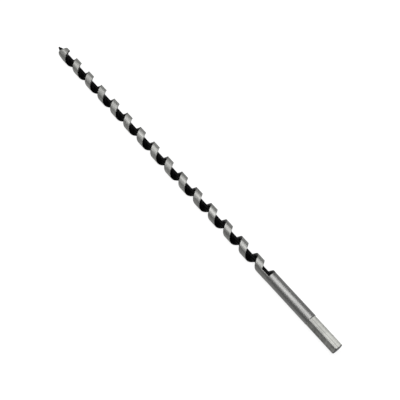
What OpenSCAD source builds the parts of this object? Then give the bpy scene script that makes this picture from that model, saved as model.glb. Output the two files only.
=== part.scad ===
// Long auger bit for wood, with one broad spiral land and a hexagonal shank.
// It lies along X: the hexagonal end is at the origin, and the screw point is at the +X end.

/* [Bit] */
// Overall length, from the hexagonal end to the point of the lead screw
overall_len = 460; // [300:1:600]
// Diameter of the round shank
body_d = 13; // [12.2:0.1:20]

/* [Twist] */
// How far the twist stands out past the round shank, all round
twist_over = 0.18; // [0:0.01:0.4]
// Advance of the spiral in one turn
pitch = 24; // [18:0.1:40]
// Width of the land, measured along the bit
land_w = 9.7; // [5:0.1:13]
// Diameter of the core that the land winds round
core_d = 4.2; // [3.8:0.1:6]
// Radius of the fillets where the land's flanks meet the core
root_fillet = 1.2; // [0.4:0.1:1.6]
// Length over which the flute runs out in front of the shank
runout_len = 10; // [4:0.1:12]
// Angle at which the flute runs out, counted from straight down
runout_turn = 147.5; // [0:0.5:360]

/* [Cutting head] */
// Length of the head, from its joint with the twist to the cutting lip
head_len = 14; // [11:0.1:24]
// How far the head stands out past the twist, all round
head_over = 0.04; // [0:0.01:0.3]
// Slope of the ground front face, which gives the lip its clearance
lip_slope = 4; // [0:0.5:10]
// How far the spur stands out in front of the lip
spur_rise = 1.2; // [0.2:0.1:2]
// Radius of the spur's rounded outline
spur_r = 4.6; // [3:0.1:5.4]
// Thickness of the spur at its root
spur_root = 2.2; // [1:0.1:2.6]
// Thickness of the spur at its scoring edge
spur_edge = 0.35; // [0.1:0.05:0.8]
// Angle round the bit from the trailing flank of the land to the middle of the spur
spur_lag = 27; // [20:1:60]

/* [Lead screw] */
// Length of the lead screw in front of the lip
screw_len = 10; // [6:0.1:16]
// Length of the straight part of the lead screw, between the lip and the pointed part
straight_len = 3; // [0.5:0.1:5]
// Diameter of the lead screw at its straight part
screw_d = 5.8; // [4:0.1:7]
// Diameter of the blunt end of the screw point
screw_tip_d = 0.4; // [0.2:0.1:1]
// Depth of the flat seat that is cut in the head for the screw
seat_depth = 0.5; // [0.2:0.1:1]
// Diameter of the tang that holds the screw in the head
tang_d = 2.4; // [1.6:0.1:3]
// Length of the tang
tang_len = 8; // [4:0.1:10]
// Gap round the tang and at its end, which the braze fills
braze_gap = 0.05; // [0.02:0.01:0.1]

/* [Shank] */
// Length of the round shank, with the slopes where the flats run out
round_len = 57; // [20:0.5:120]
// Length of the hexagon
hex_len = 36.5; // [20:0.5:60]
// Width of the hexagon across its flats
hex_af = 11.6; // [8:0.1:11.8]
// Radius of the rounded end edge
end_round = 1.2; // [0.4:0.1:2]

/* [Hidden] */

bright_steel = [0.72, 0.73, 0.72];
black_steel = [0.10, 0.10, 0.11];

body_r = body_d / 2;
twist_r = body_r + twist_over;
core_r = core_d / 2;
head_r = twist_r + head_over;
flat_r = hex_af / 2;

// Heights along the bit, counted from the hexagonal end
flute_end = hex_len + round_len;
runout_top = flute_end + runout_len;
lip_z = overall_len - screw_len;
head_z = lip_z - head_len;
seat_z = lip_z - seat_depth;
point_z = lip_z + straight_len;

// Turns of the two flanks: a degree for each step along the bit
deg_per_mm = 360 / pitch;
land_turn = land_w * deg_per_mm;
fillet_turn = root_fillet * deg_per_mm;

// The spiral is drawn oversize, as rings of points, and turned down to its diameter afterwards
blank_r = 1.3 * body_r;
ring_step = 1;
land_steps = 4;
core_steps = 5;
fillet_steps = 2;
overlap = 1;
$fn = 96;

// Angle of the flank that looks to the shank: it winds up the bit, and stands still along the run-out
function lead_turn(z) = runout_turn + max(0, z - runout_top) * deg_per_mm;

// Angle of the flank that looks to the point, on the far side of the flute, which never closes quite
function trail_turn(z) = max(
    runout_turn + (z - runout_top) * deg_per_mm + 360 - land_turn,
    lead_turn(z) + 2.2 * fillet_turn
);

// A quarter round from a flank to the core, as radius and share of the fillet's turn
function fillet_arc() = [
    for (i = [0:fillet_steps])
        let (u = 90 * i / fillet_steps)
        [core_r + root_fillet * (1 - sin(u)), 1 - cos(u)]
];

// The flute at one height, from flank to flank, as radius and angle
function flute_floor(z) = let (
    a = lead_turn(z),
    b = trail_turn(z),
    arc = fillet_arc(),
    core_turn = b - a - 2 * fillet_turn
) concat(
    [[blank_r, a]],
    [for (p = arc) [p[0], a + p[1] * fillet_turn]],
    [for (i = [1:core_steps - 1]) [core_r, a + fillet_turn + core_turn * i / core_steps]],
    [for (i = [fillet_steps:-1:0]) [arc[i][0], b - arc[i][1] * fillet_turn]],
    [[blank_r, b]]
);

// The land's crown at one height, from its trailing edge round to its leading edge
function land_crown(z) = let (
    from = trail_turn(z) - 360,
    to = lead_turn(z)
) [for (i = [1:land_steps - 1]) [blank_r, from + (to - from) * i / land_steps]];

function polar(p, z) = [p[0] * cos(p[1]), p[0] * sin(p[1]), z];

// Joins rings of points into one closed solid. The hubs are the middles of its two ends.
module ringed_solid(rings, hubs) {
    n = len(rings[0]);
    last = len(rings) - 1;
    points = concat([for (ring = rings) each ring], hubs);
    sides = [
        for (k = [0:last - 1], i = [0:n - 1])
            let (
                j = (i + 1) % n,
                p = k * n + i,
                q = k * n + j
            )
            each [[p, p + n, q], [q, p + n, q + n]]
    ];
    foot = [for (i = [0:n - 1]) [(last + 1) * n, i, (i + 1) % n]];
    top = [for (i = [0:n - 1]) [(last + 1) * n + 1, last * n + (i + 1) % n, last * n + i]];
    polyhedron(points = points, faces = concat(sides, foot, top));
}

// A length of the spiral, left oversize: the core with its land
module spiral(z0, z1) {
    count = ceil((z1 - z0) / ring_step);
    rings = [
        for (k = [0:count])
            let (z = z0 + (z1 - z0) * k / count)
            [for (p = concat(flute_floor(z), land_crown(z))) polar(p, z)]
    ];
    ringed_solid(rings, [[0, 0, z0], [0, 0, z1]]);
}

// Turns a piece down to a diameter, from one height to another
module turned(z0, z1, r) {
    intersection() {
        translate([0, 0, z0])
            cylinder(h = z1 - z0, r = r);
        children();
    }
}

module lay_down() {
    rotate([0, 90, 0]) children();
}

module lead_screw() {
    color(black_steel) lay_down() {
        translate([0, 0, seat_z])
            cylinder(h = point_z - seat_z, d = screw_d);
        translate([0, 0, point_z])
            cylinder(h = overall_len - point_z, d1 = screw_d, d2 = screw_tip_d);
        translate([0, 0, seat_z - tang_len])
            cylinder(h = tang_len, d = tang_d);
    }
}

// The curved tooth that scores the rim of the hole ahead of the lip, left oversize on its outside
module spur() {
    spur_mid = trail_turn(lip_z) - 360 - spur_lag;
    spur_z = lip_z + spur_rise - spur_r;
    intersection() {
        difference() {
            translate([0, 0, spur_z - spur_r])
                cylinder(h = 2 * spur_r, r = blank_r);
            translate([0, 0, spur_z - spur_r])
                cylinder(h = 2 * spur_r, r1 = head_r - spur_root, r2 = head_r - spur_edge);
        }
        rotate([0, 0, spur_mid]) translate([0, 0, spur_z]) rotate([0, 90, 0])
            cylinder(h = head_r + overlap, r = spur_r);
    }
}

// The spiral up to the lip, with its front face ground square to the bit but for a small slope
module lip() {
    difference() {
        spiral(head_z - overlap, lip_z + 2 * overlap);
        translate([0, 0, lip_z]) rotate([0, 0, lead_turn(lip_z)]) rotate([0, -lip_slope, 0])
            translate([-body_d, -body_d, 0])
                cube([2 * body_d, 2 * body_d, head_len]);
    }
}

module cutting_head() {
    spur_top = lip_z + spur_rise + overlap;
    color(bright_steel) lay_down() difference() {
        union() {
            turned(head_z, spur_top, head_r) lip();
            turned(head_z, spur_top, head_r) spur();
        }
        translate([0, 0, seat_z])
            cylinder(h = head_len, d = screw_d + 2 * braze_gap);
        translate([0, 0, seat_z - tang_len - braze_gap])
            cylinder(h = tang_len + head_len, d = tang_d + 2 * braze_gap);
    }
}

module twist() {
    color(black_steel) lay_down()
        turned(flute_end, head_z, twist_r)
            spiral(flute_end - overlap, head_z + overlap);
}

// The round bar that the shank is made from, with its rounded end edge
module bar() {
    rotate_extrude() {
        square([body_r - end_round, flute_end]);
        translate([0, end_round])
            square([body_r, flute_end - end_round]);
        translate([body_r - end_round, end_round])
            circle(r = end_round);
    }
}

// What the cutter takes off for one flat, with the slope where it leaves the bar
module flat_cut() {
    reach = body_r + overlap;
    rotate([90, 0, 0])
        linear_extrude(height = 2 * body_d, center = true)
            polygon([
                [flat_r, -overlap],
                [reach, -overlap],
                [reach, hex_len + reach - flat_r],
                [flat_r, hex_len]
            ]);
}

module shank() {
    color(bright_steel) lay_down() difference() {
        bar();
        for (turn = [0:60:300])
            rotate([0, 0, turn]) flat_cut();
    }
}

lead_screw();
cutting_head();
twist();
shank();
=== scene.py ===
import math

import bmesh
import bpy
from mathutils import Matrix, Vector


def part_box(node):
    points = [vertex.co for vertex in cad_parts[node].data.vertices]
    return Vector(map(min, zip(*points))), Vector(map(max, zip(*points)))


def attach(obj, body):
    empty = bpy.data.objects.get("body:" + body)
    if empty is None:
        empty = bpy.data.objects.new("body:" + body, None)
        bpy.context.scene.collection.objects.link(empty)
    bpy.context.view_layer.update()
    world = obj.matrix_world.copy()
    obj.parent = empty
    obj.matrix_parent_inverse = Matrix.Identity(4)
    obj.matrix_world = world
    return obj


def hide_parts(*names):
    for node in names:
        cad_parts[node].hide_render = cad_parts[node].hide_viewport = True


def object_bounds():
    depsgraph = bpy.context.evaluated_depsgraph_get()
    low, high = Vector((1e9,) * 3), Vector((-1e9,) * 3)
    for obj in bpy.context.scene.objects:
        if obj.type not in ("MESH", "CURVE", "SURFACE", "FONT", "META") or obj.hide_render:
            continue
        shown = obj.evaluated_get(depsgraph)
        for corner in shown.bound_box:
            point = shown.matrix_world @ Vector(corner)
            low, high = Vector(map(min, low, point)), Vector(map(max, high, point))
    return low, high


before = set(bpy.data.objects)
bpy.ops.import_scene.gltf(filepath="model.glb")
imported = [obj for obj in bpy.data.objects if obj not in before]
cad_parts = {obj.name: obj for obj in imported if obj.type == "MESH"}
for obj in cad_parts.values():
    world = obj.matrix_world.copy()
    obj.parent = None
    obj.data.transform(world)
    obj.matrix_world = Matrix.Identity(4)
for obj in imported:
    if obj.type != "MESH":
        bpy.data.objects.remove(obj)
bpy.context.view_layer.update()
scene = bpy.context.scene
scene.view_settings.view_transform = "Standard"
mm = 0.001
fullTurn = 2 * math.pi
quarterTurn = math.pi / 2
print("frame loaded:", ", ".join(sorted(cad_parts)))


# places along the bit that several pieces share

def endsOf(node):  # where a solid starts and ends, to a micrometre
    return [round(corner.x, 6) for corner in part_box(node)]


screwReach = 10.0 * mm  # how far the screw stands out in front of the lip
seatDepth = 0.5 * mm
fluteEnd, headFoot = endsOf("twist")
screwFoot, screwPoint = endsOf("lead_screw")
lip = screwPoint - screwReach
seatFloor = lip - seatDepth


# small helpers for node trees

def put(tree, kind, inputs=None, **options):
    made = tree.nodes.new(kind)
    for name, value in options.items():
        setattr(made, name, value)
    for name, value in (inputs or {}).items():
        if isinstance(value, bpy.types.NodeSocket):
            tree.links.new(value, made.inputs[name])
        else:
            made.inputs[name].default_value = value
    return made


def putOut(tree, kind, inputs=None, **options):  # the first output of a new node
    return put(tree, kind, inputs, **options).outputs[0]


def reckon(tree, operation, *values):
    return putOut(tree, "ShaderNodeMath", dict(enumerate(values)), operation=operation)


def chain(tree, operation, values):
    total = values[0]
    for value in values[1:]:
        total = reckon(tree, operation, total, value)
    return total


def addUp(tree, *values):
    return chain(tree, "ADD", values)


def product(tree, *values):
    return chain(tree, "MULTIPLY", values)


def blendOf(tree, share, low, high):
    return reckon(tree, "MULTIPLY_ADD", reckon(tree, "SUBTRACT", high, low), share, low)


def heldToOne(tree, value):
    return reckon(tree, "MINIMUM", reckon(tree, "MAXIMUM", value, 0.0), 1.0)


def rampOf(tree, value, start, end, **options):  # from 0 at the start to 1 at the end
    stretch = {"Value": value, "From Min": start, "From Max": end}
    return put(tree, "ShaderNodeMapRange", stretch, **options).outputs["Result"]


def partsOf(tree, vector):
    return put(tree, "ShaderNodeSeparateXYZ", {0: vector}).outputs


def newTree(name, kind, inputs, outputs):
    tree = bpy.data.node_groups.new(name, kind)
    for way, sockets in (("INPUT", inputs), ("OUTPUT", outputs)):
        for label, socketKind in sockets.items():
            tree.interface.new_socket(label, in_out=way, socket_type="NodeSocket" + socketKind)
    return tree, tree.nodes.new("NodeGroupInput").outputs, tree.nodes.new("NodeGroupOutput").inputs


def attributeOf(tree, name, kind="FLOAT"):
    return put(tree, "GeometryNodeInputNamedAttribute", {"Name": name}, data_type=kind).outputs["Attribute"]


def sweepOf(tree, rail, ring):
    return putOut(tree, "GeometryNodeCurveToMesh", {"Curve": rail, "Profile Curve": ring, "Fill Caps": True})


def roundBit(tree, geometry, along, radius, angle):  # angles are counted from straight down
    spot = putOut(tree, "ShaderNodeCombineXYZ", {
        "X": along,
        "Y": product(tree, radius, reckon(tree, "SINE", angle)),
        "Z": product(tree, radius, reckon(tree, "COSINE", angle), -1.0)})
    placed = putOut(tree, "GeometryNodeSetPosition", {"Geometry": geometry, "Position": spot})
    return putOut(tree, "GeometryNodeRealizeInstances", {"Geometry": placed})


# small helpers for meshes

mergeWithin = 1e-7
crispFrom = {"twist": 40, "head": 35, "screw": 50, "shank": 35}  # degrees between two faces


def settle(piece):  # what the modifiers make becomes the piece's own mesh
    graph = bpy.context.evaluated_depsgraph_get()
    mesh = bpy.data.meshes.new_from_object(piece.evaluated_get(graph), depsgraph=graph)
    piece.modifiers.clear()
    piece.data = mesh


def runTree(piece, tree, values):
    modifier = piece.modifiers.new(tree.name, "NODES")
    modifier.node_group = tree
    for item in tree.interface.items_tree:
        if item.in_out == "INPUT" and item.name in values:
            modifier[item.identifier] = values[item.name]
    settle(piece)


def newPiece(name, mesh):
    piece = bpy.data.objects.new(name, mesh)
    scene.collection.objects.link(piece)
    return piece


def meshOf(work, name):
    mesh = bpy.data.meshes.new(name)
    work.to_mesh(mesh)
    work.free()
    return mesh


def pointMesh(name, points, edges, attributes):
    mesh = bpy.data.meshes.new(name)
    mesh.from_pydata(points, edges, [])
    for label, (kind, values) in attributes.items():
        layer = mesh.attributes.new(label, kind, "POINT")
        if kind == "FLOAT":
            layer.data.foreach_set("value", values)
        else:
            layer.data.foreach_set("vector", [x for row in values for x in row])
    return mesh


def smoothOff(piece, degrees):  # round faces shade smooth, and edges sharper than this stay crisp
    mesh = piece.data
    mesh.shade_smooth()
    mesh.set_sharp_from_angle(angle=math.radians(degrees))


def closeUp(piece):  # merges doubles and turns the faces outwards
    work = bmesh.new()
    work.from_mesh(piece.data)
    bmesh.ops.remove_doubles(work, verts=work.verts, dist=mergeWithin)
    bmesh.ops.recalc_face_normals(work, faces=work.faces)
    openEdges = sum(1 for edge in work.edges if len(edge.link_faces) != 2)
    work.to_mesh(piece.data)
    triangles = sum(len(face.verts) - 2 for face in work.faces)
    print(piece.name, "has", triangles, "triangles and", openEdges, "open edges")
    work.free()


def spread(start, end, count):  # even steps after the start, up to the end
    return [start + (end - start) * step / count for step in range(1, count + 1)]


# shader groups that several finishes share

def makeGrind():
    tree, given, result = newTree(
        "grindMarks", "ShaderNodeTree",
        {"Vector": "Vector", "Along": "Float", "Across": "Float", "Contrast": "Float"},
        {"Shade": "Float", "Height": "Float"})
    across = given["Across"]
    stretch = putOut(tree, "ShaderNodeCombineXYZ", {"X": given["Along"], "Y": across, "Z": across})
    place = putOut(tree, "ShaderNodeVectorMath", {0: given["Vector"], 1: stretch}, operation="MULTIPLY")
    noise = putOut(tree, "ShaderNodeTexNoise", {
        "Vector": place, "Scale": 1.0, "Detail": 4.0, "Roughness": 0.62})
    centred = reckon(tree, "SUBTRACT", noise, 0.5)
    shade = reckon(tree, "MULTIPLY_ADD", centred, given["Contrast"], 0.5)
    tree.links.new(heldToOne(tree, shade), result["Shade"])
    tree.links.new(noise, result["Height"])
    return tree


def makeRimWear():
    tree, given, result = newTree(
        "rimWear", "ShaderNodeTree",
        {"Vector": "Vector", "From": "Float", "To": "Float", "Breakup": "Float"}, {"Wear": "Float"})
    across = putOut(tree, "ShaderNodeVectorMath", {0: given["Vector"], 1: (0, 1, 1)}, operation="MULTIPLY")
    radius = put(tree, "ShaderNodeVectorMath", {0: across}, operation="LENGTH").outputs["Value"]
    chips = putOut(tree, "ShaderNodeTexNoise", {"Vector": given["Vector"], "Scale": 700.0, "Detail": 3.0})
    offset = product(tree, reckon(tree, "SUBTRACT", chips, 0.5), given["Breakup"])
    reach = addUp(tree, radius, offset)
    wear = rampOf(tree, reach, given["From"], given["To"], interpolation_type="SMOOTHSTEP")
    tree.links.new(wear, result["Wear"])
    return tree


grindMarks = makeGrind()
rimWear = makeRimWear()


def newFinish(name):
    material = bpy.data.materials.new(name)
    material.use_nodes = True
    tree = material.node_tree
    skin = tree.nodes["Principled BSDF"]
    place = put(tree, "ShaderNodeTexCoord").outputs["Object"]
    return material, tree, skin, place


def useGroup(tree, group, place, values):
    return put(tree, "ShaderNodeGroup", {"Vector": place, **values}, node_tree=group).outputs


def mixColour(tree, share, low, high):
    ends = [end if isinstance(end, bpy.types.NodeSocket) else (*end, 1) for end in (low, high)]
    return put(tree, "ShaderNodeMix", {0: share, 6: ends[0], 7: ends[1]}, data_type="RGBA").outputs[2]


def addBump(tree, skin, height, strength, depth):
    bump = putOut(tree, "ShaderNodeBump", {"Height": height, "Strength": strength, "Distance": depth})
    tree.links.new(bump, skin.inputs["Normal"])


# bright steel, in five finishes

grindLines = {"Along": 5.0, "Across": 900.0, "Contrast": 4.0}
grindStreaks = {"Along": 25.0, "Across": 330.0, "Contrast": 4.0}
steelCloud = {"Along": 30.0, "Across": 90.0, "Contrast": 1.6}
cloudShare = 0.3
steelRelief = {"strength": 0.5, "depth": 0.03 * mm}
# marks are set by their steps along the bit, their spread across it, their share of the tone and their relief
# changes along the bit are set by where each starts and ends, in mm, and by its tint and its polish; the
# land's tints are painted shade
steelLooks = {
    "groundSteel": {
        "dull": (0.240, 0.240, 0.236), "bright": (0.480, 0.480, 0.471), "smooth": 0.38, "rough": 0.50,
        "streaks": 0.25, "steps": 900.0, "spread": 90.0, "marks": 0.10, "relief": 0.03, "changes": ()},
    "landSteel": {
        "dull": (0.300, 0.301, 0.290), "bright": (0.650, 0.652, 0.627), "smooth": 0.50, "rough": 0.64,
        "streaks": 0.40, "steps": 900.0, "spread": 90.0, "marks": 0.06, "relief": 0.03,
        # the land is darkened at the rear of the twist and on the head: painted shade, with the rear also
        # smoother and the head also rougher
        "changes": ((240, 160, 0.86, 0.10), (415, 435, 0.92, -0.10))},
    "milledSteel": {
        "dull": (0.200, 0.202, 0.190), "bright": (0.620, 0.624, 0.589), "smooth": 0.40, "rough": 0.54,
        "streaks": 0.05, "steps": 300.0, "spread": 180.0, "marks": 0.45, "relief": 20.0,
        "changes": ((22, 16, 1.18, 0.0),)},
    "wipedSteel": {
        "dull": (0.280, 0.282, 0.266), "bright": (0.550, 0.553, 0.522), "smooth": 0.40, "rough": 0.54,
        "streaks": 0.05, "steps": 300.0, "spread": 180.0, "marks": 0.15, "relief": 5.0,
        "changes": ((22, 16, 1.18, 0.0),)},
    "mattSteel": {
        "dull": (0.40, 0.40, 0.40), "bright": (0.60, 0.60, 0.60), "smooth": 0.85, "rough": 0.95,
        "streaks": 0.05, "steps": 300.0, "spread": 180.0, "marks": 0.15, "relief": 5.0, "changes": ()},
}


def brightSteel(name):
    look = steelLooks[name]
    material, tree, skin, place = newFinish(name)
    cutterMarks = {"Along": look["steps"], "Across": look["spread"], "Contrast": grindLines["Contrast"]}
    lines = useGroup(tree, grindMarks, place, grindLines)
    streaks = useGroup(tree, grindMarks, place, grindStreaks)
    marks = useGroup(tree, grindMarks, place, cutterMarks)
    cloud = useGroup(tree, grindMarks, place, steelCloud)
    lineShare = 1 - cloudShare - look["streaks"] - look["marks"]
    shade = addUp(tree,
                  product(tree, lines["Shade"], lineShare),
                  product(tree, streaks["Shade"], look["streaks"]),
                  product(tree, marks["Shade"], look["marks"]),
                  product(tree, cloud["Shade"], cloudShare))
    tone = mixColour(tree, shade, look["dull"], look["bright"])
    rough = blendOf(tree, shade, look["rough"], look["smooth"])
    # a tint below one darkens that stretch of the bit, which on the land is painted shade
    for start, end, tint, polish in look["changes"]:
        along = partsOf(tree, place)["X"]
        change = rampOf(tree, along, start * mm, end * mm, interpolation_type="SMOOTHSTEP")
        scale = blendOf(tree, change, 1.0, tint)
        tone = putOut(tree, "ShaderNodeVectorMath", {0: tone, "Scale": scale}, operation="SCALE")
        rough = reckon(tree, "SUBTRACT", rough, product(tree, change, polish))
    tree.links.new(tone, skin.inputs["Base Color"])
    tree.links.new(rough, skin.inputs["Roughness"])
    skin.inputs["Metallic"].default_value = 1.0
    relief = addUp(tree, lines["Height"], product(tree, marks["Height"], look["relief"]))
    addBump(tree, skin, relief, **steelRelief)
    return material


# black coats and the dark end of the bar

coatTones = {"black": (0.0008, 0.0008, 0.0009), "grey": (0.003, 0.003, 0.0034)}
fluteLook = {
    "bare": (0.36, 0.36, 0.35), "wear": {"From": 6.65 * mm, "To": 6.72 * mm, "Breakup": 0.08 * mm},
    "grain": {"Along": 420.0, "Across": 420.0, "Contrast": 1.6},
    "smooth": 0.22, "rough": 0.36, "shine": 0.05, "relief": {"strength": 0.2, "depth": 0.04 * mm},
}
screwLook = {
    "worn": (0.02, 0.02, 0.02), "sharpness": 4.0,
    "grain": {"Along": 900.0, "Across": 900.0, "Contrast": 1.6},
    "smooth": 0.34, "rough": 0.5, "shine": 0.05, "relief": {"strength": 0.25, "depth": 0.04 * mm},
}
endLook = {
    "dull": (0.05, 0.05, 0.05), "bright": (0.12, 0.12, 0.118),
    "rings": {"Scale": 420.0, "Distortion": 1.5, "Detail": 2.0},
    "cloud": {"Along": 300.0, "Across": 300.0, "Contrast": 1.6},
    "smooth": 0.45, "rough": 0.6, "relief": {"strength": 0.3, "depth": 0.04 * mm},
}


def blackCoat(tree, skin, place, look):  # the coat's colour and grain, for wear to go over
    grain = useGroup(tree, grindMarks, place, look["grain"])
    tree.links.new(blendOf(tree, grain["Shade"], look["smooth"], look["rough"]), skin.inputs["Roughness"])
    skin.inputs["Specular IOR Level"].default_value = look["shine"]
    addBump(tree, skin, grain["Height"], **look["relief"])
    return mixColour(tree, grain["Shade"], coatTones["black"], coatTones["grey"]), grain["Shade"]


def fluteBlack():
    material, tree, skin, place = newFinish("fluteBlack")
    coat, _ = blackCoat(tree, skin, place, fluteLook)
    wear = useGroup(tree, rimWear, place, fluteLook["wear"])["Wear"]
    tree.links.new(mixColour(tree, wear, coat, fluteLook["bare"]), skin.inputs["Base Color"])
    tree.links.new(wear, skin.inputs["Metallic"])
    return material


def screwBlack():
    material, tree, skin, place = newFinish("screwBlack")
    coat, grain = blackCoat(tree, skin, place, screwLook)
    crest = put(tree, "ShaderNodeAttribute", attribute_name="crest").outputs["Fac"]
    wear = product(tree, reckon(tree, "POWER", crest, screwLook["sharpness"]), grain)
    tree.links.new(mixColour(tree, wear, coat, screwLook["worn"]), skin.inputs["Base Color"])
    return material


def darkEnd():  # coloured dark, with the rings of the tool that faced it
    material, tree, skin, place = newFinish("darkEnd")
    rings = put(tree, "ShaderNodeTexWave", {"Vector": place, **endLook["rings"]},
                wave_type="RINGS", rings_direction="X").outputs["Fac"]
    cloud = useGroup(tree, grindMarks, place, endLook["cloud"])["Shade"]
    shade = product(tree, addUp(tree, rings, cloud), 0.5)
    tree.links.new(mixColour(tree, shade, endLook["dull"], endLook["bright"]), skin.inputs["Base Color"])
    tree.links.new(blendOf(tree, cloud, endLook["smooth"], endLook["rough"]), skin.inputs["Roughness"])
    skin.inputs["Metallic"].default_value = 1.0
    addBump(tree, skin, rings, **endLook["relief"])
    return material


steel = brightSteel("groundSteel")
landSteel = brightSteel("landSteel")
milled = brightSteel("milledSteel")
wiped = brightSteel("wipedSteel")
matt = brightSteel("mattSteel")
barEnd = darkEnd()
flute = fluteBlack()
screwCoat = screwBlack()
print("finishes made")


# the twist: one section, wound along the bit by a rule

windSizes = {  # in metres and radians, with the least flute in fillets
    "Radius": 6.68 * mm, "Core": 2.1 * mm, "Fillet": 1.2 * mm, "Corner": 0.4 * mm, "Bevel": 0.16 * mm,
    "Pitch": 24.0 * mm, "Land": 9.7 * mm, "Shoulder": 0.4 * mm, "Least flute": 2.2,
    "Run-out top": fluteEnd + 10.0 * mm, "Run-out turn": math.radians(147.5),
    "Web": 0.4 * mm, "Web foot": headFoot - 41.0 * mm, "Web top": headFoot - 1.0 * mm,
    "Heel": 0.8 * mm, "Heel foot": headFoot - 3.0 * mm, "Heel top": headFoot + 7.0 * mm,
}
windSpans = {  # where each piece starts and ends, and its number of rings
    "twist": {"Start": fluteEnd, "End": headFoot, "Rings": 620},
    "head": {"Start": headFoot, "End": lip + 2.0 * mm, "Rings": 64},
}
sectionSteps = {"flank": 6, "fillet": 6, "core": 10, "corner": 3, "shoulder": 2, "crown": 22}
shoulderHeight = 0.9  # the black shoulder in front of the ground land, as a share of the corner's rise
heelHeight = 0.75  # the black heel behind the head's land, in the same way
heelBlacking = 10.0  # how soon the heel turns black where it starts
groundLeast = 0.6  # a face is bright where more than this share of its corners is ground
endFacing = 0.99  # faces that look along the bit more than this are ends


def sectionPoint(rise, turn, crown=0, ground=0, heel=0):
    return {"rise": rise, "turn": turn, "crown": crown, "ground": ground, "heel": heel}


# a point's rise: shares of the fillet, the flank and the corner in its radius
# a point's turn: shares of the way to the far flank, the fillet's turn and the corner's turn in its angle
def sectionRing():
    quarter = [quarterTurn * i / sectionSteps["fillet"] for i in range(sectionSteps["fillet"] + 1)]
    bend = [quarterTurn * i / sectionSteps["corner"] for i in range(sectionSteps["corner"] + 1)]
    flanks = [i / sectionSteps["flank"] for i in range(1, sectionSteps["flank"])]

    # down the flank that looks to the shank, along the core and up the other flank
    ring = [sectionPoint((1, 1, 0), (0, 0, 0), heel=1)]
    ring += [sectionPoint((1, 1 - s, 0), (0, 0, 0), heel=1) for s in flanks]
    ring += [sectionPoint((1 - math.sin(u), 0, 0), (0, 1 - math.cos(u), 0), heel=1) for u in quarter]
    for i in range(1, sectionSteps["core"]):
        s = i / sectionSteps["core"]
        ring.append(sectionPoint((0, 0, 0), (s, 1 - 2 * s, 0), heel=1 - s))
    ring += [sectionPoint((1 - math.sin(u), 0, 0), (1, math.cos(u) - 1, 0)) for u in reversed(quarter)]
    ring += [sectionPoint((1, s, 0), (1, 0, 0)) for s in flanks]

    # over the shoulder, the land and the heel
    ring += [sectionPoint((1, 1, shoulderHeight * math.sin(u)), (1, 0, 1 - math.cos(u))) for u in bend]
    shoulder = windSizes["Shoulder"] / (windSizes["Land"] + windSizes["Shoulder"])
    for i in range(1, sectionSteps["shoulder"]):
        v = shoulder * i / sectionSteps["shoulder"]
        ring.append(sectionPoint((1, 1, shoulderHeight), (1, 0, 1 - 2 * v), crown=v))
    for i in range(sectionSteps["crown"]):
        v = shoulder + (1 - shoulder) * i / sectionSteps["crown"]
        ring.append(sectionPoint((1, 1, 1), (1, 0, 1 - 2 * v), crown=v, ground=1))
    ring += [sectionPoint((1, 1, height), (1, 0, -1), crown=1, ground=1) for height in (1, heelHeight)]
    for u in reversed(bend[1:]):
        rise = (1, 1, heelHeight * math.sin(u))
        ring.append(sectionPoint(rise, (1, 0, math.cos(u) - 1), crown=1, ground=1, heel=1))
    return ring


def sectionMesh():  # a plain ring, whose points the tree puts in their places
    ring = sectionRing()
    count = len(ring)
    turns = [fullTurn * i / count for i in range(count)]
    points = [(math.cos(turn) * mm, math.sin(turn) * mm, 0) for turn in turns]
    kinds = dict.fromkeys(("rise", "turn"), "FLOAT_VECTOR")
    kinds |= dict.fromkeys(("crown", "ground", "heel"), "FLOAT")
    return pointMesh("section", points, [(i, (i + 1) % count) for i in range(count)], {
        label: (kind, [point[label] for point in ring]) for label, kind in kinds.items()})


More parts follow.
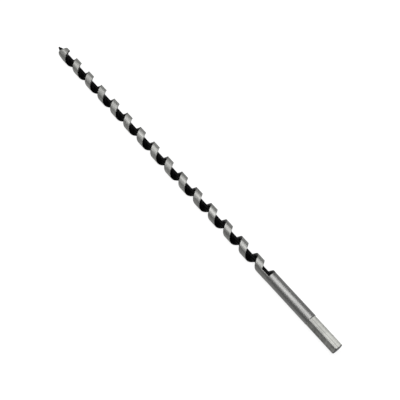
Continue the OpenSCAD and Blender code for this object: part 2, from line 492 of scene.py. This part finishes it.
def makeWind():
    sizes = {name: "Float" for name in windSizes}
    tree, given, result = newTree("windLand", "GeometryNodeTree", {
        "Geometry": "Geometry", "Start": "Float", "End": "Float", "Rings": "Int", **sizes,
        "Land finish": "Material", "Flute finish": "Material"}, {"Geometry": "Geometry"})
    start = putOut(tree, "ShaderNodeCombineXYZ", {"X": given["Start"]})
    end = putOut(tree, "ShaderNodeCombineXYZ", {"X": given["End"]})
    line = putOut(tree, "GeometryNodeCurvePrimitiveLine", {"Start": start, "End": end})
    rail = putOut(tree, "GeometryNodeResampleCurve", {"Curve": line, "Count": given["Rings"]}, mode="COUNT")
    tube = sweepOf(tree, rail, putOut(tree, "GeometryNodeMeshToCurve", {"Mesh": given["Geometry"]}))

    # turns of the two flanks at this place along the bit
    along = partsOf(tree, putOut(tree, "GeometryNodeInputPosition"))["X"]
    perLength = reckon(tree, "DIVIDE", fullTurn, given["Pitch"])
    climb = product(tree, reckon(tree, "SUBTRACT", along, given["Run-out top"]), perLength)
    filletTurn = product(tree, given["Fillet"], perLength)
    landTurn = product(tree, addUp(tree, given["Land"], given["Shoulder"]), perLength)
    heelShare = rampOf(tree, along, given["Heel foot"], given["Heel top"])
    heelTurn = product(tree, heelShare, given["Heel"], perLength)
    lead = addUp(tree, given["Run-out turn"], reckon(tree, "MAXIMUM", climb, 0.0))
    farSide = reckon(tree, "SUBTRACT", addUp(tree, given["Run-out turn"], climb, fullTurn), landTurn)
    nearest = reckon(tree, "MULTIPLY_ADD", filletTurn, given["Least flute"], lead)
    trail = reckon(tree, "MAXIMUM", farSide, nearest)

    # radius and angle of each point of the section
    rise = partsOf(tree, attributeOf(tree, "rise", "FLOAT_VECTOR"))
    turn = partsOf(tree, attributeOf(tree, "turn", "FLOAT_VECTOR"))
    heel = attributeOf(tree, "heel")
    web = product(tree, rampOf(tree, along, given["Web foot"], given["Web top"]), given["Web"])
    core = addUp(tree, given["Core"], web)
    fromStart = reckon(tree, "SUBTRACT", along, given["Start"])
    sunk = reckon(tree, "MAXIMUM", reckon(tree, "SUBTRACT", given["Bevel"], fromStart), 0.0)
    belowFlank = addUp(tree, core, given["Fillet"], given["Corner"], sunk)
    flankHeight = reckon(tree, "SUBTRACT", given["Radius"], belowFlank)
    radius = addUp(tree, core,
                   product(tree, given["Fillet"], rise[0]),
                   product(tree, flankHeight, rise[1]),
                   product(tree, given["Corner"], rise[2]))
    crownTurn = reckon(tree, "SUBTRACT", addUp(tree, lead, fullTurn), trail)
    cornerTurn = reckon(tree, "DIVIDE", given["Corner"], given["Radius"])
    angle = addUp(tree, blendOf(tree, turn[0], lead, trail),
                  product(tree, filletTurn, turn[1]),
                  product(tree, cornerTurn, turn[2]),
                  product(tree, crownTurn, attributeOf(tree, "crown")),
                  product(tree, heelTurn, heel))
    solid = roundBit(tree, tube, along, radius, angle)

    # the land and the ends are ground bright, and the rest is black
    dark = putOut(tree, "GeometryNodeSetMaterial", {"Geometry": solid, "Material": given["Flute finish"]})
    unground = product(tree, heelShare, heelBlacking, heel)
    ground = reckon(tree, "SUBTRACT", attributeOf(tree, "ground"), unground)
    facing = partsOf(tree, putOut(tree, "GeometryNodeInputNormal"))["X"]
    onLand = reckon(tree, "GREATER_THAN", ground, groundLeast)
    onEnd = reckon(tree, "GREATER_THAN", reckon(tree, "ABSOLUTE", facing), endFacing)
    bright = reckon(tree, "MAXIMUM", onLand, onEnd)
    done = putOut(tree, "GeometryNodeSetMaterial", {
        "Geometry": dark, "Selection": bright, "Material": given["Land finish"]})
    tree.links.new(done, result["Geometry"])
    return tree


windLand = makeWind()


def windPiece(name, span, **changes):
    piece = newPiece(name, sectionMesh())
    finishes = {"Land finish": landSteel, "Flute finish": flute}
    runTree(piece, windLand, windSizes | windSpans[span] | finishes | changes)
    return piece


twist = windPiece("spiralTwist", "twist")
closeUp(twist)
smoothOff(twist, crispFrom["twist"])
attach(twist, "root")
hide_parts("twist")
print("twist wound")


# the cutting head: the same spiral, ground off in front, with its spur and the seat of the screw

headSizes = {
    "radius": 6.72 * mm, "slope": math.radians(4), "heelSlope": math.radians(6),
    "spurRise": 1.2 * mm, "spurRound": 4.6 * mm, "spurRoot": 2.2 * mm, "spurEdge": 0.35 * mm,
    "spurLag": math.radians(27), "spurShy": 0.02 * mm, "spurInner": 0.5 * mm, "spurOuter": 8.0 * mm,
    "seatRadius": 2.95 * mm, "boreRadius": 1.25 * mm, "boreDepth": 8.05 * mm,
}
toolSizes = {  # the wheel and the cutters that shape the head
    "sides": 160, "overlap": 1.0 * mm, "seatReach": 5.0 * mm, "blockWide": 36.0 * mm, "blockTall": 14.0 * mm,
}
layDown = Matrix.Rotation(quarterTurn, 4, "Y")  # from a bit that stands on its end to one that lies along X


def leadTurn(z):
    return windSizes["Run-out turn"] + max(0, z - windSizes["Run-out top"]) * fullTurn / windSizes["Pitch"]


def trailTurn(z):
    climb = (z - windSizes["Run-out top"] - windSizes["Land"]) * fullTurn / windSizes["Pitch"]
    return windSizes["Run-out turn"] + climb + fullTurn


def toolPiece(name, work, place):
    work.transform(layDown @ place)
    mesh = meshOf(work, name)
    mesh.materials.append(landSteel)
    return newPiece(name, mesh)


def turnedBar(name, foot, top, radius, topRadius=None, place=Matrix.Identity(4)):
    work = bmesh.new()
    middle = Matrix.Translation((0, 0, (foot + top) / 2))
    bmesh.ops.create_cone(work, cap_ends=True, segments=toolSizes["sides"], radius1=radius,
                          radius2=topRadius or radius, depth=top - foot, matrix=middle)
    return toolPiece(name, work, place)


def shape(piece, tool, operation):
    modifier = piece.modifiers.new(operation, "BOOLEAN")
    modifier.operation = operation
    modifier.object = tool
    modifier.solver = "EXACT"
    modifier.material_mode = "TRANSFER"
    settle(piece)
    bpy.data.objects.remove(tool)


def grindingBlock():  # what the wheel takes off in front of the lip
    wide, tall, edge = toolSizes["blockWide"], toolSizes["blockTall"], headSizes["radius"]
    place = (Matrix.Translation((0, 0, lip)) @ Matrix.Rotation(leadTurn(lip), 4, "Z")
             @ Matrix.Translation((edge, 0, edge * math.tan(headSizes["slope"])))
             @ Matrix.Rotation(-headSizes["heelSlope"], 4, "Y") @ Matrix.Translation((0, 0, tall / 2)))
    work = bmesh.new()
    bmesh.ops.create_cube(work, size=1, matrix=Matrix.Diagonal((wide, wide, tall, 1)))
    return toolPiece("grindingBlock", work, place)


def scoringSpur():
    outside, rounded, overlap = headSizes["radius"], headSizes["spurRound"], toolSizes["overlap"]
    turn = trailTurn(lip) - fullTurn - headSizes["spurLag"]
    middle = lip + headSizes["spurRise"] - rounded
    foot, top = middle - rounded, middle + rounded
    tooth = turnedBar("spur", foot, top, outside - headSizes["spurShy"])
    grow = (headSizes["spurRoot"] - headSizes["spurEdge"]) / (top - foot) * overlap
    hollow = turnedBar("hollow", foot - overlap, top + overlap,
                       outside - headSizes["spurRoot"] - grow, outside - headSizes["spurEdge"] + grow)
    shape(tooth, hollow, "DIFFERENCE")
    sideways = (Matrix.Rotation(turn, 4, "Z") @ Matrix.Translation((0, 0, middle))
                @ Matrix.Rotation(quarterTurn, 4, "Y"))
    outline = turnedBar("outline", headSizes["spurInner"], headSizes["spurOuter"], rounded, place=sideways)
    shape(tooth, outline, "INTERSECT")
    return tooth


def screwHoles():
    seatTop, boreFoot = seatFloor + toolSizes["seatReach"], seatFloor - headSizes["boreDepth"]
    seat = turnedBar("seat", seatFloor, seatTop, headSizes["seatRadius"])
    bore = turnedBar("bore", boreFoot, seatFloor + toolSizes["overlap"], headSizes["boreRadius"])
    return seat, bore


head = windPiece("cuttingHead", "head", Radius=headSizes["radius"])
closeUp(head)
shape(head, grindingBlock(), "DIFFERENCE")
shape(head, scoringSpur(), "UNION")
for hole in screwHoles():
    shape(head, hole, "DIFFERENCE")
closeUp(head)
smoothOff(head, crispFrom["head"])
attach(head, "root")
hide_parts("cutting_head")
print("head ground")


# the lead screw: a cone with a thread, on its tang

screwSizes = {  # those with a capital letter are inputs of the tree
    "Start": lip + 1.45 * mm, "Thread": 2.4 * mm, "Depth": 0.18, "Flank": 3.4, "Crest": 1.4, "Sides": 64,
    "tang": 1.2 * mm, "tangBevel": 0.15 * mm, "step": 0.002 * mm, "base": 2.9 * mm, "straight": 3.0 * mm,
    "tip": 0.55 * mm, "fullness": 1.35, "threadFade": 1.0 * mm, "rings": 150,
}


def screwStations():  # places along the screw, with the bare radius and how much of the thread stands there
    tang, bevel = screwSizes["tang"], screwSizes["tangBevel"]
    base, tip, cone = screwSizes["base"], screwSizes["tip"], lip + screwSizes["straight"]
    rows = [(screwFoot, tang - bevel, 0.0), (screwFoot + bevel, tang, 0.0)]
    rows += [(seatFloor - screwSizes["step"], tang, 0.0), (seatFloor, base, 0.0)]
    for x in spread(seatFloor, screwPoint, screwSizes["rings"]):
        taper = (max(0, x - cone) / (screwPoint - cone)) ** screwSizes["fullness"]
        threaded = min(1.0, max(0.0, (x - lip) / screwSizes["threadFade"]))
        rows.append((x, base + (tip - base) * taper, threaded))
    points = [(x, 0, 0) for x, _, _ in rows]
    return pointMesh("stations", points, [(i, i + 1) for i in range(len(rows) - 1)], {
        "bare": ("FLOAT", [radius for _, radius, _ in rows]),
        "threaded": ("FLOAT", [threaded for _, _, threaded in rows])})


def makeScrew():
    tree, given, result = newTree("cutThread", "GeometryNodeTree", {
        "Geometry": "Geometry", "Start": "Float", "Thread": "Float", "Depth": "Float", "Flank": "Float",
        "Crest": "Float", "Sides": "Int", "Finish": "Material"}, {"Geometry": "Geometry"})
    rail = putOut(tree, "GeometryNodeMeshToCurve", {"Mesh": given["Geometry"]})
    ring = putOut(tree, "GeometryNodeCurvePrimitiveCircle", {"Resolution": given["Sides"], "Radius": mm})
    tube = sweepOf(tree, rail, ring)
    place = partsOf(tree, putOut(tree, "GeometryNodeInputPosition"))
    angle = reckon(tree, "ARCTAN2", place["Y"], product(tree, place["Z"], -1.0))

    # how far each point is from the crest of the thread, and how deep it lies
    turns = reckon(tree, "DIVIDE", reckon(tree, "SUBTRACT", place["X"], given["Start"]), given["Thread"])
    phase = reckon(tree, "FRACT", reckon(tree, "SUBTRACT", turns, reckon(tree, "DIVIDE", angle, fullTurn)))
    away = reckon(tree, "ABSOLUTE", reckon(tree, "SUBTRACT", phase, 0.5))
    ridge = heldToOne(tree, reckon(tree, "SUBTRACT", given["Crest"], product(tree, away, given["Flank"])))
    threaded = attributeOf(tree, "threaded")
    sunk = product(tree, reckon(tree, "SUBTRACT", 1.0, ridge), given["Depth"], threaded)
    radius = product(tree, attributeOf(tree, "bare"), reckon(tree, "SUBTRACT", 1.0, sunk))
    marked = putOut(tree, "GeometryNodeStoreNamedAttribute", {
        "Geometry": tube, "Name": "crest", "Value": product(tree, ridge, threaded)})
    solid = roundBit(tree, marked, place["X"], radius, angle)
    done = putOut(tree, "GeometryNodeSetMaterial", {"Geometry": solid, "Material": given["Finish"]})
    tree.links.new(done, result["Geometry"])
    return tree


screw = newPiece("leadScrew", screwStations())
runTree(screw, makeScrew(), screwSizes | {"Finish": screwCoat})
closeUp(screw)
smoothOff(screw, crispFrom["screw"])
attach(screw, "root")
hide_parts("lead_screw")
print("lead screw cut")


# the shank: a round bar with six milled flats

shankSizes = {
    "radius": 6.5 * mm, "flat": 5.8 * mm, "sides": 6, "hexLength": 36.5 * mm, "endRound": 1.2 * mm,
    "soft": 0.03 * mm, "offCentre": 0.22 * mm, "offTurn": math.radians(45),
}
shankSteps = {  # rings along the bar, then points round it
    "end": 14, "dullFlat": 6, "dullEdge": 11, "hexagon": 12, "near": 6, "slope": 16, "bar": 10,
    "flat": 13, "edge": 8,
}
shankGaps = {  # how far rings are from the ends of the slopes, and points from each other at an edge
    "near": 0.3 * mm, "past": 0.05 * mm, "clear": 0.2 * mm, "edge": math.radians(0.35),
}
sideTurn = fullTurn / shankSizes["sides"]
leastLean = 0.4  # a flat whose cosine to a point is less than this can't be the nearest to it


def softLeast(a, b, k):  # the lesser of two, with a rounded corner
    h = max(k - abs(a - b), 0) / k
    return min(a, b) - h * h * k / 4


def flatReach(z, angle):  # how far the nearest milled flat lies from the middle
    slope = max(0, z - shankSizes["hexLength"])
    reaches = []
    for side in range(shankSizes["sides"]):
        turn = sideTurn * side
        lean = math.cos(angle - turn)
        if lean > leastLean:
            flat = shankSizes["flat"] + shankSizes["offCentre"] * math.cos(turn - shankSizes["offTurn"])
            reaches.append((flat + slope) / lean)
    return min(reaches)


def shankRadius(z, angle):
    bar = shankSizes["radius"]
    short = shankSizes["endRound"] - z
    if short > 0:
        bar -= shankSizes["endRound"] - math.sqrt(max(shankSizes["endRound"] ** 2 - short ** 2, 0))
    return softLeast(bar, flatReach(z, angle), shankSizes["soft"])


def shankAngles():  # closest together beside the edges of the flats
    corner = math.acos(shankSizes["flat"] / shankSizes["radius"])
    offsets = {0.0, sideTurn / 2}
    for step in range(1, shankSteps["flat"]):
        offsets |= {corner * step / shankSteps["flat"], -corner * step / shankSteps["flat"]}
    for step in range(-shankSteps["edge"], shankSteps["edge"] + 1):
        offsets |= {corner + step * shankGaps["edge"], -corner - step * shankGaps["edge"]}
    return [sideTurn * side + offset for side in range(shankSizes["sides"]) for offset in sorted(offsets)]


def shankStations():
    rounded, flats, near = shankSizes["endRound"], shankSizes["hexLength"], shankGaps["near"]
    slopeTop = flats + shankSizes["radius"] - shankSizes["flat"] + shankSizes["offCentre"]
    clear = slopeTop + shankGaps["clear"]
    bend = [quarterTurn * i / shankSteps["end"] for i in range(shankSteps["end"] + 1)]
    rows = [rounded * (1 - math.cos(u)) for u in bend]
    rows += spread(rounded, flats - near, shankSteps["hexagon"])
    rows += spread(flats - near, flats, shankSteps["near"])
    rows += spread(flats, slopeTop, shankSteps["slope"])
    rows += [slopeTop + shankGaps["past"], clear]
    rows += spread(clear, fluteEnd, shankSteps["bar"])
    return rows


shankFinishes = (steel, flute, barEnd, milled, wiped, matt)


# the end face and the rounded rim next to it are coloured dark
def finishAt(step, z, onFlat, onTop):
    if step < (shankSteps["dullFlat"] if onFlat else shankSteps["dullEdge"]):
        return barEnd
    if not onFlat:
        return steel
    if z > shankSizes["hexLength"]:
        return matt
    return wiped if onTop else milled


def shankMesh():
    work = bmesh.new()
    angles, stations = shankAngles(), shankStations()
    rings = []
    for z in stations:
        radii = [shankRadius(z, angle) for angle in angles]
        rings.append([work.verts.new((z, radius * math.sin(angle), -radius * math.cos(angle)))
                      for radius, angle in zip(radii, angles)])
    count = len(angles)
    for step, (low, high) in enumerate(zip(rings, rings[1:])):
        z = stations[step + 1]
        for i in range(count):
            j = (i + 1) % count
            face = work.faces.new((low[i], high[i], high[j], low[j]))
            onFlat = max(flatReach(z, angles[i]), flatReach(z, angles[j])) < shankSizes["radius"]
            onTop = abs(angles[i] - math.pi) < sideTurn / 2
            face.material_index = shankFinishes.index(finishAt(step, z, onFlat, onTop))
    work.faces.new(rings[0]).material_index = shankFinishes.index(barEnd)
    work.faces.new(list(reversed(rings[-1]))).material_index = shankFinishes.index(flute)
    mesh = meshOf(work, "shank")
    for finish in shankFinishes:
        mesh.materials.append(finish)
    return mesh


shank = newPiece("hexShank", shankMesh())
closeUp(shank)
smoothOff(shank, crispFrom["shank"])
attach(shank, "root")
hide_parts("shank")
print("shank milled")


# floor, light and camera

# the floor's glow in reflections, with its middle and reach across the bit, is a painted reflection
stageLook = {"size": 30.0, "own": 0.86, "paintedReflection": 1.1, "middle": -0.012, "reach": 0.013, "white": 0.30}
lampSettings = {
    "overhead": {"place": (0.515, 0.0, 1.05), "aim": (0.515, 0.0, 0.0), "size": (1.81, 1.2), "radiance": 2.0},
    "farSide": {"place": (0.25, -1.5, 0.4), "aim": (0.25, 0.0, 0.0), "size": (2.4, 0.8), "radiance": 0.38},
    "fill": {"place": (0.67, 0.84, 0.35), "aim": (0.25, 0.0, 0.0), "size": (0.5, 0.5), "radiance": 0.45},
}
worldGrey = (0.09, 0.09, 0.09)
cameraView = {
    "place": (-0.0950051, 0.2847527, 0.6895362), "right": (-0.62971, -0.77534, 0.04802),
    "up": (0.68248, -0.52265, 0.51094), "forward": (0.37105, -0.35452, -0.85828),
    "lens": 70.565, "sensor": 36.0, "nearest": 0.01, "farthest": 100.0,
}


def floorFinish():  # pale to the camera, and a painted reflection: a glow seen only in reflections, fading away from the bit, that lays a soft pale band in the steel
    material = bpy.data.materials.new("paleFloor")
    material.use_nodes = True
    tree = material.node_tree
    tree.nodes.remove(tree.nodes["Principled BSDF"])
    rays = put(tree, "ShaderNodeLightPath").outputs
    seen = reckon(tree, "MAXIMUM", rays["Is Camera Ray"], rays["Is Transmission Ray"])
    across = partsOf(tree, put(tree, "ShaderNodeTexCoord").outputs["Object"])["Y"]
    aside = reckon(tree, "ABSOLUTE", reckon(tree, "SUBTRACT", across, stageLook["middle"]))
    fading = reckon(tree, "DIVIDE", stageLook["reach"], addUp(tree, aside, stageLook["reach"]))
    # the floor glows for glossy rays only, most near the bit: a painted reflection
    paintedReflection = product(tree, fading, stageLook["paintedReflection"], rays["Is Glossy Ray"])
    shown = reckon(tree, "MAXIMUM", seen, paintedReflection)
    glow = putOut(tree, "ShaderNodeEmission", {"Strength": product(tree, shown, stageLook["own"])})
    white = stageLook["white"]
    paper = putOut(tree, "ShaderNodeBsdfDiffuse", {"Color": (white, white, white, 1)})
    both = putOut(tree, "ShaderNodeAddShader", {0: glow, 1: paper})
    tree.links.new(both, tree.nodes["Material Output"].inputs["Surface"])
    return material


def makeFloor():
    half, low = stageLook["size"] / 2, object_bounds()[0].z
    corners = [(-half, -half, low), (half, -half, low), (half, half, low), (-half, half, low)]
    mesh = bpy.data.meshes.new("floor")
    mesh.from_pydata(corners, [], [(0, 1, 2, 3)])
    mesh.materials.append(floorFinish())
    floor = newPiece("floor", mesh)


def makeLamp(name, settings):
    lamp = bpy.data.lights.new(name, "AREA")
    lamp.shape = "RECTANGLE"
    lamp.size, lamp.size_y = settings["size"]
    lamp.energy = settings["radiance"] * math.pi * lamp.size * lamp.size_y
    holder = bpy.data.objects.new(name, lamp)
    holder.location = settings["place"]
    aim = Vector(settings["aim"]) - Vector(settings["place"])
    holder.rotation_euler = aim.to_track_quat("-Z", "Y").to_euler()
    scene.collection.objects.link(holder)


def makeWorld():
    world = bpy.data.worlds.new("world")
    world.use_nodes = True
    world.node_tree.nodes["Background"].inputs["Color"].default_value = (*worldGrey, 1)
    scene.world = world


def makeCamera():
    camera = bpy.data.cameras.new("camera")
    camera.lens, camera.sensor_width = cameraView["lens"], cameraView["sensor"]
    camera.clip_start, camera.clip_end = cameraView["nearest"], cameraView["farthest"]
    holder = bpy.data.objects.new("camera", camera)
    turned = Matrix((cameraView["right"], cameraView["up"], -Vector(cameraView["forward"]))).transposed()
    holder.matrix_world = Matrix.Translation(cameraView["place"]) @ turned.to_4x4()
    scene.collection.objects.link(holder)
    scene.camera = holder


makeFloor()
for lampName, lampSetting in lampSettings.items():
    makeLamp(lampName, lampSetting)
makeWorld()
makeCamera()
print("floor, light and camera set")
